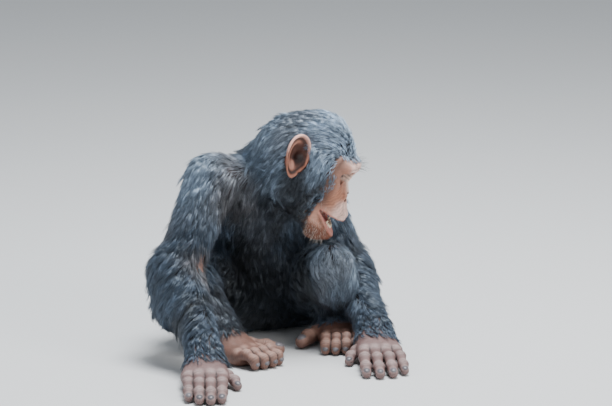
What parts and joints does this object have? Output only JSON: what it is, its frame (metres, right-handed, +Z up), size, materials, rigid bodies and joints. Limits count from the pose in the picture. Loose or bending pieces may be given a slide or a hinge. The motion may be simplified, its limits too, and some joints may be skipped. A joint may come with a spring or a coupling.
{
  "type": "chimpanzee",
  "caption": "Life-size young chimpanzee, sitting with knees drawn up, leaning on its hands, head turned in profile and looking down with open mouth; still, no moving parts.",
  "frame": {"origin": "middle of the underside of the box round the whole animal, on the floor", "axes": "+Z up; the head faces +X and the knees and hands point towards -Y"},
  "size_m": [0.384, 0.519, 0.3657],
  "materials": {
    "coat": "long black hair with a blue-grey sheen",
    "skin": "bare, creased, pinkish brown, greyer on the hands and feet",
    "eye": "wet and glossy, dark brown"
  },
  "bodies": {
    "root": {"trunk": "coat", "neck": "coat", "head": "coat", "jaw": "coat", "upper_arm_r": "coat", "upper_arm_l": "coat", "forearm_r": "coat", "forearm_l": "coat", "thigh_r": "coat", "thigh_l": "coat", "shin_r": "coat", "shin_l": "coat", "hand_r": "skin", "hand_l": "skin", "foot_r": "skin", "foot_l": "skin", "ear_l": "skin", "ear_r": "skin", "eye_l": "eye", "eye_r": "eye"}
  },
  "joints": []
}
